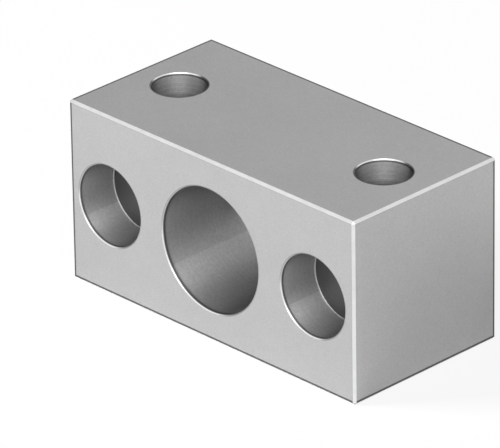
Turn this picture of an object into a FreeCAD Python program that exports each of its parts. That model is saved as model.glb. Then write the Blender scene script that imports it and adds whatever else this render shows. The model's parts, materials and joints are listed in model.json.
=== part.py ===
import FreeCAD, Part
import math
import os

# A mounting block, machined from one length of square aluminium bar.
#
# A bore runs through it from front to back. A blind, flat-bottomed pocket lies on each
# side of the bore, in the front face. Behind each pocket a screw hole runs from top to
# bottom. Every outer edge and every hole mouth is chamfered.
#
# All sizes are in millimetres. The origin is the middle of the base. +X runs along the
# block, -Y is the front, where the pockets open, and +Z is up.

# Holes
BORE_DIAMETER = 20.0  # for a shaft or a sleeve
POCKET_DIAMETER = 13.0  # seats the end of a rod or a spring
POCKET_DEPTH = 7.0  # from the front face to the pocket's flat floor
POCKET_FLOOR_RADIUS = 0.2  # where the pocket's wall meets its floor
SCREW_HOLE_DIAMETER = 8.4  # clearance for an M8 screw

# Walls, measured at their thinnest
BORE_TO_POCKET_WALL = 5.0
POCKET_TO_END_WALL = 2.0
POCKET_TO_SCREW_HOLE_WALL = 3.8
WALL_ABOVE_BORE = 5.0
WALL_BELOW_BORE = 5.0

# Broken edges, at 45 degrees
EDGE_CHAMFER = 0.4  # along the block's outer edges
MOUTH_CHAMFER = 0.25  # round each hole's mouth

# How far each cutting profile stands out of the face that it enters
CUTTER_OVERRUN = 1.0

# The block's own size follows from its holes and walls.
BORE_RADIUS = BORE_DIAMETER / 2
POCKET_RADIUS = POCKET_DIAMETER / 2
SCREW_HOLE_RADIUS = SCREW_HOLE_DIAMETER / 2

SIDE_HOLE_X = BORE_RADIUS + BORE_TO_POCKET_WALL + POCKET_RADIUS
BLOCK_LENGTH = 2 * (SIDE_HOLE_X + POCKET_RADIUS + POCKET_TO_END_WALL)
BLOCK_DEPTH = 2 * (POCKET_DEPTH + POCKET_TO_SCREW_HOLE_WALL + SCREW_HOLE_RADIUS)
BLOCK_HEIGHT = WALL_BELOW_BORE + BORE_DIAMETER + WALL_ABOVE_BORE

FRONT_Y = -BLOCK_DEPTH / 2
BORE_Z = WALL_BELOW_BORE + BORE_RADIUS

BACKWARDS = FreeCAD.Vector(0, 1, 0)
DOWNWARDS = FreeCAD.Vector(0, 0, -1)


def profile_point(radius, depth):
    """A point of a hole's half section: its distance from the axis and its depth."""
    return FreeCAD.Vector(radius, 0, depth)


def outline(points):
    """Straight edges from each point to the next."""
    return [Part.makeLine(start, end) for start, end in zip(points, points[1:])]


def turned_cutter(half_section, mouth, direction):
    """Turns a half section about its axis and sets it at a mouth, facing into the metal."""
    cutter = Part.Face(Part.Wire(half_section)).revolve(
        FreeCAD.Vector(0, 0, 0), FreeCAD.Vector(0, 0, 1), 360
    )
    cutter.Placement = FreeCAD.Placement(
        mouth, FreeCAD.Rotation(FreeCAD.Vector(0, 0, 1), direction)
    )
    return cutter


def through_hole(radius, length, mouth, direction):
    """A round hole from face to face, chamfered at both mouths."""
    flare = radius + MOUTH_CHAMFER + CUTTER_OVERRUN
    half_section = outline(
        [
            profile_point(0, -CUTTER_OVERRUN),
            profile_point(flare, -CUTTER_OVERRUN),
            profile_point(radius, MOUTH_CHAMFER),
            profile_point(radius, length - MOUTH_CHAMFER),
            profile_point(flare, length + CUTTER_OVERRUN),
            profile_point(0, length + CUTTER_OVERRUN),
            profile_point(0, -CUTTER_OVERRUN),
        ]
    )
    return turned_cutter(half_section, mouth, direction)


def blind_pocket(radius, depth, floor_radius, mouth, direction):
    """A flat-bottomed round pocket with a chamfered mouth and a radius round its floor."""
    flare = radius + MOUTH_CHAMFER + CUTTER_OVERRUN
    wall_foot = profile_point(radius, depth - floor_radius)
    floor_edge = profile_point(radius - floor_radius, depth)
    corner_middle = profile_point(
        radius - floor_radius * (1 - math.cos(math.pi / 4)),
        depth - floor_radius * (1 - math.sin(math.pi / 4)),
    )
    mouth_and_wall = outline(
        [
            profile_point(0, -CUTTER_OVERRUN),
            profile_point(flare, -CUTTER_OVERRUN),
            profile_point(radius, MOUTH_CHAMFER),
            wall_foot,
        ]
    )
    corner = Part.Arc(wall_foot, corner_middle, floor_edge).toShape()
    floor_and_axis = outline(
        [floor_edge, profile_point(0, depth), profile_point(0, -CUTTER_OVERRUN)]
    )
    return turned_cutter(mouth_and_wall + [corner] + floor_and_axis, mouth, direction)


def blank():
    """The squared-up bar, with all its outer edges broken."""
    corner = FreeCAD.Vector(-BLOCK_LENGTH / 2, FRONT_Y, 0)
    bar = Part.makeBox(BLOCK_LENGTH, BLOCK_DEPTH, BLOCK_HEIGHT, corner)
    return bar.makeChamfer(EDGE_CHAMFER, bar.Edges)


def bore():
    """The shaft bore, through the middle of the block."""
    mouth = FreeCAD.Vector(0, FRONT_Y, BORE_Z)
    return through_hole(BORE_RADIUS, BLOCK_DEPTH, mouth, BACKWARDS)


def pocket(x):
    """A blind pocket in the front face, level with the bore."""
    mouth = FreeCAD.Vector(x, FRONT_Y, BORE_Z)
    return blind_pocket(POCKET_RADIUS, POCKET_DEPTH, POCKET_FLOOR_RADIUS, mouth, BACKWARDS)


def screw_hole(x):
    """A vertical screw hole, midway between the front and the back."""
    mouth = FreeCAD.Vector(x, 0, BLOCK_HEIGHT)
    return through_hole(SCREW_HOLE_RADIUS, BLOCK_HEIGHT, mouth, DOWNWARDS)


def mounting_block():
    """The finished block: the blank with its five holes cut."""
    cutters = [bore()]
    for x in (-SIDE_HOLE_X, SIDE_HOLE_X):
        cutters.append(pocket(x))
        cutters.append(screw_hole(x))
    return blank().cut(cutters)


os.makedirs("parts", exist_ok=True)
block = mounting_block().Solids[0]
block.exportStep("parts/mounting_block.step")

print("length, depth and height in mm:", BLOCK_LENGTH, BLOCK_DEPTH, BLOCK_HEIGHT)
print("volume in mm3:", round(block.Volume, 1), "valid:", block.isValid())
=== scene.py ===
import json
import math
from types import SimpleNamespace

import bpy
from mathutils import Matrix, Vector


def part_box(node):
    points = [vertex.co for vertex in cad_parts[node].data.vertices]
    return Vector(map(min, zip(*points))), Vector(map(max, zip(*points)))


# The dressed view of a machined aluminium mounting block: its material, floor, light and
# camera. Lengths are in metres, in the frame of the CAD model: +X along the block, -Y out
# of its front face, +Z up, with the origin in the middle of the base.

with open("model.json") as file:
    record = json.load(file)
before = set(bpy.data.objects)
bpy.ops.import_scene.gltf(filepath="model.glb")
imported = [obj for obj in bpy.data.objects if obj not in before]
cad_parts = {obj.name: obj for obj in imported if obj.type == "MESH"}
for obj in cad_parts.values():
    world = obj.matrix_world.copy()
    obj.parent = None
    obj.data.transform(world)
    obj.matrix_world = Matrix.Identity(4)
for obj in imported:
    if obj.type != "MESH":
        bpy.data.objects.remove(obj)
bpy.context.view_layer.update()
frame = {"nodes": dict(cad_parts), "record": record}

MM = 0.001
block = frame["nodes"]["mounting_block"]
low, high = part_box("mounting_block")
centre = (low + high) / 2
mounts = {mount["name"]: mount for mount in frame["record"]["mounts"]}

BORE_RADIUS = mounts["bore"]["dims"]["r_mm"] * MM
POCKET_RADIUS = mounts["pocket_right"]["dims"]["r_mm"] * MM
SCREW_RADIUS = mounts["screw_hole_right"]["dims"]["r_mm"] * MM
SIDE_HOLE_X = mounts["pocket_right"]["pos_m"][0]

# The bore's wall is shorter than the block is deep, by the chamfer at each mouth
MOUTH_CHAMFER = ((high - low).y - mounts["bore"]["dims"]["length_mm"] * MM) / 2
EDGE_CHAMFER = 0.4 * MM


# ---------------------------------------------------------------- shader nodes


class Tree:
    """A node tree. Most calls add nodes to it and give back the last one's output socket."""

    def __init__(self, owner):
        owner.use_nodes = True
        self.nodes = owner.node_tree.nodes
        self.links = owner.node_tree.links
        self.nodes.clear()

    def feed(self, socket, value):
        """Links a socket's value, or sets a plain one."""
        if isinstance(value, bpy.types.NodeSocket):
            self.links.new(value, socket)
        else:
            socket.default_value = value

    def add(self, kind, output=0, **inputs):
        """One node, with its inputs by name: an underscore stands for a space."""
        node = self.nodes.new(kind)
        for name, value in inputs.items():
            self.feed(node.inputs[name.replace("_", " ")], value)
        return node.outputs[output]

    def split(self, vector):
        """The three components of a vector."""
        node = self.nodes.new("ShaderNodeSeparateXYZ")
        self.feed(node.inputs[0], vector)
        return node.outputs

    def math(self, operation, *values):
        """One operation, applied from left to right."""
        result = values[0]
        for value in values[1:]:
            node = self.nodes.new("ShaderNodeMath")
            node.operation = operation
            self.feed(node.inputs[0], result)
            self.feed(node.inputs[1], value)
            result = node.outputs[0]
        return result

    def product(self, *values):
        return self.math("MULTIPLY", *values)

    def total(self, *values):
        return self.math("ADD", *values)

    def smallest(self, *values):
        return self.math("MINIMUM", *values)

    def largest(self, *values):
        return self.math("MAXIMUM", *values)

    def below(self, value, limit):
        """1 where the value is under the limit, and 0 elsewhere."""
        return self.math("LESS_THAN", value, limit)

    def above(self, value, limit):
        """1 where the value is over the limit, and 0 elsewhere."""
        return self.math("GREATER_THAN", value, limit)

    def rest_of(self, value):
        """What is left of 1."""
        return self.math("SUBTRACT", 1.0, value)

    def size_of(self, value):
        """A number without its sign."""
        return self.largest(value, self.product(value, -1.0))

    def ramp(self, value, start, end, first=0.0, last=1.0):
        """Goes smoothly from first, at start and before it, to last, at end and after it."""
        node = self.nodes.new("ShaderNodeMapRange")
        node.interpolation_type = "SMOOTHSTEP"
        for socket, setting in zip(node.inputs, (value, start, end, first, last)):
            self.feed(socket, setting)
        return node.outputs[0]

    def mix(self, factor, first, second):
        """A blend of two numbers."""
        node = self.nodes.new("ShaderNodeMix")
        self.feed(node.inputs[0], factor)
        self.feed(node.inputs[2], first)
        self.feed(node.inputs[3], second)
        return node.outputs[0]

    def noise(self, vector, patch, detail, roughness=0.5):
        """Noise about zero, whose patches are about patch metres across."""
        raw = self.add(
            "ShaderNodeTexNoise",
            Vector=vector,
            Scale=1 / patch,
            Detail=detail,
            Roughness=roughness,
        )
        return self.total(raw, -0.5)

    def show(self, shader, kind="ShaderNodeOutputMaterial"):
        output = self.nodes.new(kind)
        self.links.new(shader, output.inputs[0])


# ---------------------------------------------------------------- places on the block

# The largest part of a normal along one axis is 1 on a flat face, 0.71 on an edge's chamfer
# and 0.58 on a corner's facet. These limits tell them apart.
FLAT = 0.9
FLAT_FLOOR = 0.95
CORNER = 0.65

# Where round its hole a mouth is polished with a painted highlight, and where a wall has its
# painted light, in degrees. They are counted from +X, towards +Z in the front holes and towards
# +Y in the screw holes.
FRONT_MOUTH_HIGHLIGHT_AT = 232
SCREW_MOUTH_HIGHLIGHT_AT = 146
FRONT_LIGHT_AT = 212
SCREW_LIGHT_AT = 136

# How far past a hole's wall a point still belongs to its mouth, or to the bore at all
MOUTH_REACH = MOUTH_CHAMFER * 1.5
BORE_REACH = MOUTH_CHAMFER * 4

# Painted light and shade on a wall: its share of its tone on the dark and on the light side of
# its hole
DARK_SIDE = 0.30
LIGHT_SIDE = 1.05
SCREW_DARK_SIDE = 0.25
SCREW_LIGHT_SIDE = 1.03


def distance(tree, first, second):
    squares = tree.total(tree.product(first, first), tree.product(second, second))
    return tree.math("POWER", squares, 0.5)


def places(tree):
    """Where a point of the block lies: its depth, its distance from each hole, its zone."""
    point = tree.add("ShaderNodeTexCoord", output="Object")
    x, y, z = tree.split(point)
    facing_x, facing_y, facing_z = (
        tree.size_of(part)
        for part in tree.split(tree.add("ShaderNodeNewGeometry", output="True Normal"))
    )
    most_facing = tree.largest(facing_x, facing_y, facing_z)

    to_left = tree.total(x, -low.x)
    to_right = tree.math("SUBTRACT", high.x, x)
    to_front = tree.total(y, -low.y)
    to_back = tree.math("SUBTRACT", high.y, y)
    to_base = tree.total(z, -low.z)
    to_top = tree.math("SUBTRACT", high.z, z)
    depth = tree.smallest(to_left, to_right, to_front, to_back, to_base, to_top)

    def border(x_side, y_side, z_side):
        """Distance from a flat face's edges on three sides, leaving out the face itself."""
        return tree.smallest(
            tree.total(x_side, facing_x),
            tree.total(y_side, facing_y),
            tree.total(z_side, facing_z),
        )

    # The holes' axes. The pockets stop inside the block, so they have no rim on its back.
    side = tree.total(tree.size_of(x), -SIDE_HOLE_X)
    level = tree.total(z, -centre.z)
    from_bore = distance(tree, x, level)
    from_pocket = tree.total(distance(tree, side, level), tree.above(y, 0.0))
    from_screw = distance(tree, side, y)
    past_screw = tree.total(from_screw, -SCREW_RADIUS - MOUTH_CHAMFER)

    oblique = tree.below(most_facing, FLAT)
    inside = tree.ramp(depth, MOUTH_CHAMFER * 0.9, MOUTH_CHAMFER * 1.1)
    in_screw_hole = tree.below(from_screw, SCREW_RADIUS + MOUTH_REACH)
    near_hole = tree.largest(
        in_screw_hole,
        tree.below(from_bore, BORE_RADIUS + MOUTH_REACH),
        tree.below(from_pocket, POCKET_RADIUS + MOUTH_REACH),
    )

    # A point's place across its own hole, and the radius of that hole
    by_bore = tree.below(tree.size_of(x), BORE_RADIUS + BORE_REACH)
    sign = tree.total(tree.product(tree.above(x, 0.0), 2.0), -1.0)
    across = tree.mix(by_bore, tree.product(side, sign), x)
    front_radius = tree.mix(by_bore, POCKET_RADIUS, BORE_RADIUS)

    def lean(upward, angle, radius):
        """The cosine of a point's angle round its hole from the given one."""
        angle = math.radians(angle)
        reach = tree.total(
            tree.product(across, math.cos(angle)), tree.product(upward, math.sin(angle))
        )
        return tree.math("DIVIDE", reach, radius)

    def lean_in_hole(front_angle, screw_angle):
        return tree.mix(
            in_screw_hole,
            lean(level, front_angle, front_radius),
            lean(y, screw_angle, SCREW_RADIUS),
        )

    light = lean_in_hole(FRONT_LIGHT_AT, SCREW_LIGHT_AT)
    past_light_step = lean(level, FRONT_LIGHT_AT + 90, front_radius)
    return SimpleNamespace(
        point=point,
        depth=depth,
        # Along the hole, whichever way it runs
        along=tree.mix(in_screw_hole, y, z),
        from_pocket=from_pocket,
        # Distances from the edges beside which dark outlines are painted as shade
        lit_border=border(to_right, to_front, to_top),
        shaded_side_border=border(to_left, to_back, to_base),
        past_rim=tree.smallest(
            tree.total(from_bore, -BORE_RADIUS - MOUTH_CHAMFER),
            tree.total(from_pocket, -POCKET_RADIUS - MOUTH_CHAMFER),
            past_screw,
        ),
        past_screw=past_screw,
        by_bore=by_bore,
        in_screw_hole=in_screw_hole,
        edge=tree.product(oblique, tree.below(depth, EDGE_CHAMFER), tree.rest_of(near_hole)),
        corner=tree.below(most_facing, CORNER),
        mouth=tree.product(oblique, near_hole, tree.rest_of(inside)),
        inside=tree.product(inside, near_hole),
        pocket_floor=tree.product(
            tree.above(facing_y, FLAT_FLOOR), inside, tree.below(from_pocket, POCKET_RADIUS)
        ),
        # Depth below the mouth's chamfer, in radii of the hole
        hollow=tree.math(
            "DIVIDE",
            tree.total(depth, -MOUTH_CHAMFER),
            tree.mix(in_screw_hole, front_radius, SCREW_RADIUS),
        ),
        # The side of each mouth that is polished and has a painted highlight; the rest has
        # painted shade
        polish_and_painted_highlight=tree.ramp(lean_in_hole(FRONT_MOUTH_HIGHLIGHT_AT, SCREW_MOUTH_HIGHLIGHT_AT), 0.45, 0.8),
        # Painted light and shade on a wall: its share of its tone, round its hole
        painted_wall_light=tree.mix(
            in_screw_hole,
            tree.ramp(light, 0.1, 0.9, DARK_SIDE, LIGHT_SIDE),
            tree.ramp(light, 0.2, 0.95, SCREW_DARK_SIDE, SCREW_LIGHT_SIDE),
        ),
        # A painted light step: a straight edge of painted light along a front hole's wall, which
        # fades away round the hole
        seam=tree.product(
            tree.ramp(past_light_step, 0.0, 0.02),
            tree.ramp(past_light_step, 0.1, 0.6, 1.0, 0.0),
            tree.rest_of(in_screw_hole),
        ),
    )


# ---------------------------------------------------------------- the aluminium

# How bright each zone of the metal is
FACE_TONE = 0.54
EDGE_TONE = 0.80
CORNER_TONE = 0.60
# The mouths: a painted highlight on the polished side, painted shade on the other
PAINTED_HIGHLIGHT_MOUTH_TONE = 0.85
SHADED_MOUTH_TONE = 0.48
SHADED_SCREW_MOUTH_TONE = 0.15
BORE_WALL_TONE = 0.55
POCKET_WALL_TONE = 0.66
SCREW_WALL_TONE = 0.60
# The pocket floors are painted dark, as shade
SHADED_POCKET_FLOOR_TONE = 0.145
SHADE_LINE_TONE = 0.08

# Painted shade lines: dark outlines painted on the faces, the widest ones beside the left, back
# and base edges, and fine ones beside the other edges and round the holes
LINE_WIDTH = 0.36 * MM
RIM_LINE_WIDTH = 0.15 * MM
SCREW_RIM_LINE_WIDTH = 0.13 * MM
STRONG_LINE = 0.9
SCREW_RIM_LINE = 0.75
RIM_LINE = 0.45
LIGHT_LINE = 0.14

# The size of the marks on the metal
RING_SPACING = 0.26 * MM
GRAIN_SIZE = 0.17 * MM
SPECK_SIZE = 0.45 * MM
PATCH_SIZE = 1.8 * MM
CLOUD_SIZE = 11 * MM

# How far the marks change the tone
FACE_GRAIN = 0.28
FACE_PATCHES = 0.03
FACE_CLOUD = 0.05
EDGE_PATCHES = 0.18
MOUTH_PATCHES = 0.10
WALL_RINGS = 0.20
SCREW_WALL_RINGS = 0.45
WALL_GRAIN = 0.16
WALL_SPECKS = 0.24
POCKET_FLOOR_RINGS = 0.05
POCKET_FLOOR_GRAIN = 0.10
# How much painted light the step along a front hole's wall adds
LIGHT_STEP = 0.14

# Painted shade: what is left of the tone just inside a mouth, at its chamfer's inner edge and
# deep in a hole
RIM_SHADE = 0.2
INNER_SHADE_LINE = 0.1
DEEP = 0.6
SCREW_DEEP = 0.35

FACE_ROUGHNESS = 0.45
EDGE_ROUGHNESS = 0.36
WALL_ROUGHNESS = 0.52
SCREW_WALL_ROUGHNESS = 0.62
POLISHED_MOUTH_ROUGHNESS = 0.25
DULL_MOUTH_ROUGHNESS = 0.40
GRAIN_ROUGHNESS = 0.12
CLOUD_ROUGHNESS = 0.06
RING_ROUGHNESS = 0.12
WALL_ANISOTROPY = 0.72
BUMP_STRENGTH = 0.4
BUMP_HEIGHT = 0.02 * MM
RING_BUMP = 1.5


def surface_marks(tree, at):
    """Noise of every size on the metal. The rings run along each hole's axis, and are arcs
    about it on the pocket floors."""
    ring_point = tree.add(
        "ShaderNodeCombineXYZ", X=tree.mix(at.pocket_floor, at.along, at.from_pocket)
    )
    return SimpleNamespace(
        rings=tree.noise(ring_point, RING_SPACING, 3.0),
        grain=tree.noise(at.point, GRAIN_SIZE, 3.0, 0.6),
        specks=tree.noise(at.point, SPECK_SIZE, 3.0, 0.6),
        patches=tree.noise(at.point, PATCH_SIZE, 4.0),
        cloud=tree.noise(at.point, CLOUD_SIZE, 3.0),
    )


def painted_shade_lines(tree, at):
    """How strongly a point of a flat face lies on a painted shade line beside an edge or a rim.
    """
    strong_shade_line = tree.ramp(
        at.shaded_side_border,
        EDGE_CHAMFER + LINE_WIDTH * 0.7,
        EDGE_CHAMFER + LINE_WIDTH,
        STRONG_LINE,
        0.0,
    )
    lit_side_shade_line = tree.ramp(
        at.lit_border,
        EDGE_CHAMFER + LINE_WIDTH * 0.2,
        EDGE_CHAMFER + LINE_WIDTH * 0.5,
        LIGHT_LINE,
        0.0,
    )
    rim_shade_line = tree.largest(
        tree.ramp(at.past_rim, 0.0, RIM_LINE_WIDTH, RIM_LINE, 0.0),
        tree.ramp(
            at.past_screw, SCREW_RIM_LINE_WIDTH * 0.3, SCREW_RIM_LINE_WIDTH, SCREW_RIM_LINE, 0.0
        ),
    )
    rim_shade_line = tree.product(rim_shade_line, tree.rest_of(at.polish_and_painted_highlight))
    on_face = tree.rest_of(tree.largest(at.edge, at.mouth, at.inside))
    return tree.product(on_face, tree.largest(strong_shade_line, lit_side_shade_line, rim_shade_line))


def wall_tone(tree, at, marks):
    """A hole's wall: it has its own marks, painted shade just inside its mouth and deeper in, and
    painted light on one side and along a straight step."""
    front_tone = tree.mix(at.by_bore, POCKET_WALL_TONE, BORE_WALL_TONE)
    tone = tree.total(
        tree.mix(at.in_screw_hole, front_tone, SCREW_WALL_TONE),
        tree.product(marks.rings, tree.mix(at.in_screw_hole, WALL_RINGS, SCREW_WALL_RINGS)),
        tree.product(marks.grain, WALL_GRAIN),
        tree.product(marks.specks, WALL_SPECKS),
    )
    # Painted shade just inside the mouth and deep in the hole
    painted_rim_shade = tree.ramp(at.hollow, 0.0, 0.06, RIM_SHADE, 1.0)
    deep = tree.mix(
        at.in_screw_hole,
        tree.ramp(at.hollow, 1.0, 1.7, 1.0, DEEP),
        tree.ramp(at.hollow, 0.6, 1.1, 1.0, SCREW_DEEP),
    )
    # Painted light on one side of the step
    beside_light_step = tree.total(1.0, tree.product(at.seam, LIGHT_STEP))
    return tree.product(tone, painted_rim_shade, deep, at.painted_wall_light, beside_light_step)


def mouth_tone(tree, at, marks):
    """A mouth's chamfer: polished, with a painted highlight, on one side of the hole and painted
    shade on the other, with a painted dark line at its inner edge.
    """
    shaded_mouth_tone = tree.mix(at.in_screw_hole, SHADED_MOUTH_TONE, SHADED_SCREW_MOUTH_TONE)
    # A painted shade line at the chamfer's inner edge
    inner_shade_line = tree.ramp(at.depth, MOUTH_CHAMFER * 0.4, MOUTH_CHAMFER * 0.8, 1.0, INNER_SHADE_LINE)
    tone = tree.product(tree.mix(at.polish_and_painted_highlight, shaded_mouth_tone, PAINTED_HIGHLIGHT_MOUTH_TONE), inner_shade_line)
    return tree.total(tone, tree.product(marks.patches, MOUTH_PATCHES))


def metal_tone(tree, at, marks):
    """The grey of the metal at every point, with its painted light and shade."""
    tone = tree.total(
        FACE_TONE,
        tree.product(marks.grain, FACE_GRAIN),
        tree.product(marks.patches, FACE_PATCHES),
        tree.product(marks.cloud, FACE_CLOUD),
    )
    # Painted shade: dark outlines beside the edges and round the rims
    tone = tree.mix(painted_shade_lines(tree, at), tone, SHADE_LINE_TONE)
    tone = tree.mix(at.inside, tone, wall_tone(tree, at, marks))
    # The pocket floors: painted shade, with faint rings and grain
    floor_tone = tree.total(
        SHADED_POCKET_FLOOR_TONE,
        tree.product(marks.rings, POCKET_FLOOR_RINGS),
        tree.product(marks.grain, POCKET_FLOOR_GRAIN),
    )
    tone = tree.mix(at.pocket_floor, tone, floor_tone)
    edge_tone = tree.total(EDGE_TONE, tree.product(marks.patches, EDGE_PATCHES))
    tone = tree.mix(at.edge, tone, edge_tone)
    tone = tree.mix(tree.product(at.edge, at.corner), tone, CORNER_TONE)
    return tree.mix(at.mouth, tone, mouth_tone(tree, at, marks))


def metal_roughness(tree, at, marks):
    roughness = tree.total(
        FACE_ROUGHNESS,
        tree.product(marks.grain, GRAIN_ROUGHNESS),
        tree.product(marks.cloud, CLOUD_ROUGHNESS),
    )
    in_wall = tree.total(
        tree.mix(at.in_screw_hole, WALL_ROUGHNESS, SCREW_WALL_ROUGHNESS),
        tree.product(marks.rings, RING_ROUGHNESS),
    )
    roughness = tree.mix(at.inside, roughness, in_wall)
    roughness = tree.mix(at.edge, roughness, EDGE_ROUGHNESS)
    in_mouth = tree.mix(at.polish_and_painted_highlight, DULL_MOUTH_ROUGHNESS, POLISHED_MOUTH_ROUGHNESS)
    return tree.mix(at.mouth, roughness, in_mouth)


def aluminium():
    material = bpy.data.materials.new("satin_aluminium")
    tree = Tree(material)
    at = places(tree)
    marks = surface_marks(tree, at)

    tone = metal_tone(tree, at, marks)
    colour = tree.add("ShaderNodeCombineColor", Red=tone, Green=tone, Blue=tone)
    bump = tree.add(
        "ShaderNodeBump",
        Strength=BUMP_STRENGTH,
        Distance=BUMP_HEIGHT,
        Height=tree.total(marks.grain, tree.product(at.inside, marks.rings, RING_BUMP)),
    )

    # The rings make a hole's wall shine along its axis: Y at the front, Z under the top
    axis = tree.add(
        "ShaderNodeCombineXYZ", Y=tree.rest_of(at.in_screw_hole), Z=at.in_screw_hole
    )
    brushed = tree.product(at.inside, tree.rest_of(at.pocket_floor), WALL_ANISOTROPY)
    shader = tree.add(
        "ShaderNodeBsdfPrincipled",
        Metallic=1.0,
        Base_Color=colour,
        Roughness=metal_roughness(tree, at, marks),
        Normal=bump,
        Anisotropic=brushed,
        Tangent=axis,
    )
    tree.show(shader)
    return material


block.material_slots[0].material = aluminium()


# ---------------------------------------------------------------- floor and light

WHITE = (1, 1, 1, 1)
TABLE_COLOUR = (0.9, 0.9, 0.9, 1)
TABLE_SIZE = 6.0
TABLE_GAP = 0.02 * MM

# How much of the table is plain white to the camera, and to reflections and clear pieces.
# The rest is lit by the lamps, and keeps the block's shadow.
GLOW_IN_VIEW = 0.88
GLOW_IN_REFLECTIONS = 0.25

# The world's light on anything that isn't seen directly, where 1 is white
STRAY_LIGHT = 0.10


def light_path(tree):
    """1 for what the camera sees, and 1 for what a reflection or a clear piece sees."""
    path = tree.nodes.new("ShaderNodeLightPath").outputs
    return path["Is Camera Ray"], tree.largest(path["Is Glossy Ray"], path["Is Transmission Ray"])


def floor():
    """A wide white table. It shows as white, and keeps a soft shadow of the block, of which
    the block's own reflections see more than the camera does."""
    bpy.ops.mesh.primitive_plane_add(size=TABLE_SIZE, location=(0, 0, -TABLE_GAP))
    table = bpy.context.object
    table.name = "floor"
    material = bpy.data.materials.new("white_table")
    tree = Tree(material)
    in_view, in_reflections = light_path(tree)
    blend = tree.nodes.new("ShaderNodeMixShader")
    glow = tree.largest(
        tree.product(in_view, GLOW_IN_VIEW), tree.product(in_reflections, GLOW_IN_REFLECTIONS)
    )
    tree.feed(blend.inputs[0], glow)
    tree.feed(blend.inputs[1], tree.add("ShaderNodeBsdfDiffuse", Color=TABLE_COLOUR))
    tree.feed(blend.inputs[2], tree.add("ShaderNodeEmission", Color=WHITE, Strength=1.0))
    tree.show(blend.outputs[0])
    table.data.materials.append(material)


def backdrop():
    """White in view and in reflections, with a gentle light everywhere else."""
    world = bpy.data.worlds.new("studio")
    bpy.context.scene.world = world
    tree = Tree(world)
    strength = tree.mix(tree.largest(*light_path(tree)), STRAY_LIGHT, 1.0)
    background = tree.add("ShaderNodeBackground", Color=WHITE, Strength=strength)
    tree.show(background, "ShaderNodeOutputWorld")


def direction(azimuth, elevation):
    """A unit vector from the block. Azimuth 0 is out of its front and 90 out of its right end."""
    azimuth = math.radians(azimuth)
    elevation = math.radians(elevation)
    return Vector(
        (
            math.sin(azimuth) * math.cos(elevation),
            -math.cos(azimuth) * math.cos(elevation),
            math.sin(elevation),
        )
    )


def placed(azimuth, elevation, reach):
    """The placement of a lamp or card that faces the block from so far away."""
    away = direction(azimuth, elevation)
    turn = (-away).to_track_quat("-Z", "Y")
    return Matrix.Translation(centre + away * reach) @ turn.to_matrix().to_4x4()


def softbox(name, placement, width, height, power, mirrored):
    """A soft lamp out of view, which reflections see only if it is mirrored."""
    lamp = bpy.data.lights.new(name, "AREA")
    lamp.shape = "RECTANGLE"
    lamp.size = width
    lamp.size_y = height
    lamp.energy = power
    holder = bpy.data.objects.new(name, lamp)
    holder.matrix_world = placement
    holder.visible_glossy = mirrored
    holder.visible_camera = False
    bpy.context.scene.collection.objects.link(holder)


def card(name, placement, width, height, shade):
    """A grey card out of view, which only reflections see."""
    bpy.ops.mesh.primitive_plane_add(size=1.0)
    board = bpy.context.object
    board.name = name
    board.matrix_world = placement @ Matrix.Diagonal((width, height, 1, 1))
    board.visible_camera = False
    board.visible_shadow = False
    board.visible_diffuse = False
    material = bpy.data.materials.new(name)
    tree = Tree(material)
    tree.show(tree.add("ShaderNodeEmission", Color=(shade, shade, shade, 1), Strength=1.0))
    board.data.materials.append(material)


floor()
backdrop()

# The key lamp lights the floor, which the front and right faces mirror. The fill lamp, near
# the camera, is mirrored in the hole walls and mouths. The back card sets the tone of the
# top face. The right card dims that face's right chamfer, and the left card its front one
# and, a little, the face itself.
softbox("key", placed(-45, 35, 1.2), width=0.4, height=0.4, power=19.2, mirrored=False)
softbox("fill", placed(45, 48, 0.9), width=0.8, height=0.9, power=3.0, mirrored=True)
card("back_card", placed(-135, 30, 0.6), width=0.9, height=0.7, shade=0.63)
card("right_card", placed(135, 40, 0.6), width=0.5, height=0.4, shade=0.85)
card("left_card", placed(-97, 22, 0.5), width=0.33, height=0.5, shade=0.10)


# ---------------------------------------------------------------- the camera

CAMERA_AZIMUTH = 45.78
CAMERA_ELEVATION = 26.53
CAMERA_ROLL = -0.89
CAMERA_DISTANCE = 1.027
CAMERA_LENS = 495.0
SENSOR_WIDTH = 36.0
NEAREST_VIEW = 0.05

# How far to the left of the block's centre, and below it, the camera aims
AIM_LEFT = 4.71 * MM
AIM_DOWN = 0.86 * MM


def camera():
    """A long lens that looks down on the block's front and right end."""
    roll = math.radians(CAMERA_ROLL)
    towards = direction(CAMERA_AZIMUTH, CAMERA_ELEVATION)
    level = direction(CAMERA_AZIMUTH + 90, 0)
    upright = towards.cross(level)
    right = level * math.cos(roll) + upright * math.sin(roll)
    up = upright * math.cos(roll) - level * math.sin(roll)
    aim = centre - right * AIM_LEFT - up * AIM_DOWN
    data = bpy.data.cameras.new("camera")
    data.sensor_fit = "HORIZONTAL"
    data.sensor_width = SENSOR_WIDTH
    data.lens = CAMERA_LENS
    data.clip_start = NEAREST_VIEW
    holder = bpy.data.objects.new("camera", data)
    rotation = Matrix((right, up, towards)).transposed().to_4x4()
    holder.matrix_world = Matrix.Translation(aim + towards * CAMERA_DISTANCE) @ rotation
    bpy.context.scene.collection.objects.link(holder)
    bpy.context.scene.camera = holder


camera()
bpy.context.scene.view_settings.view_transform = "Standard"
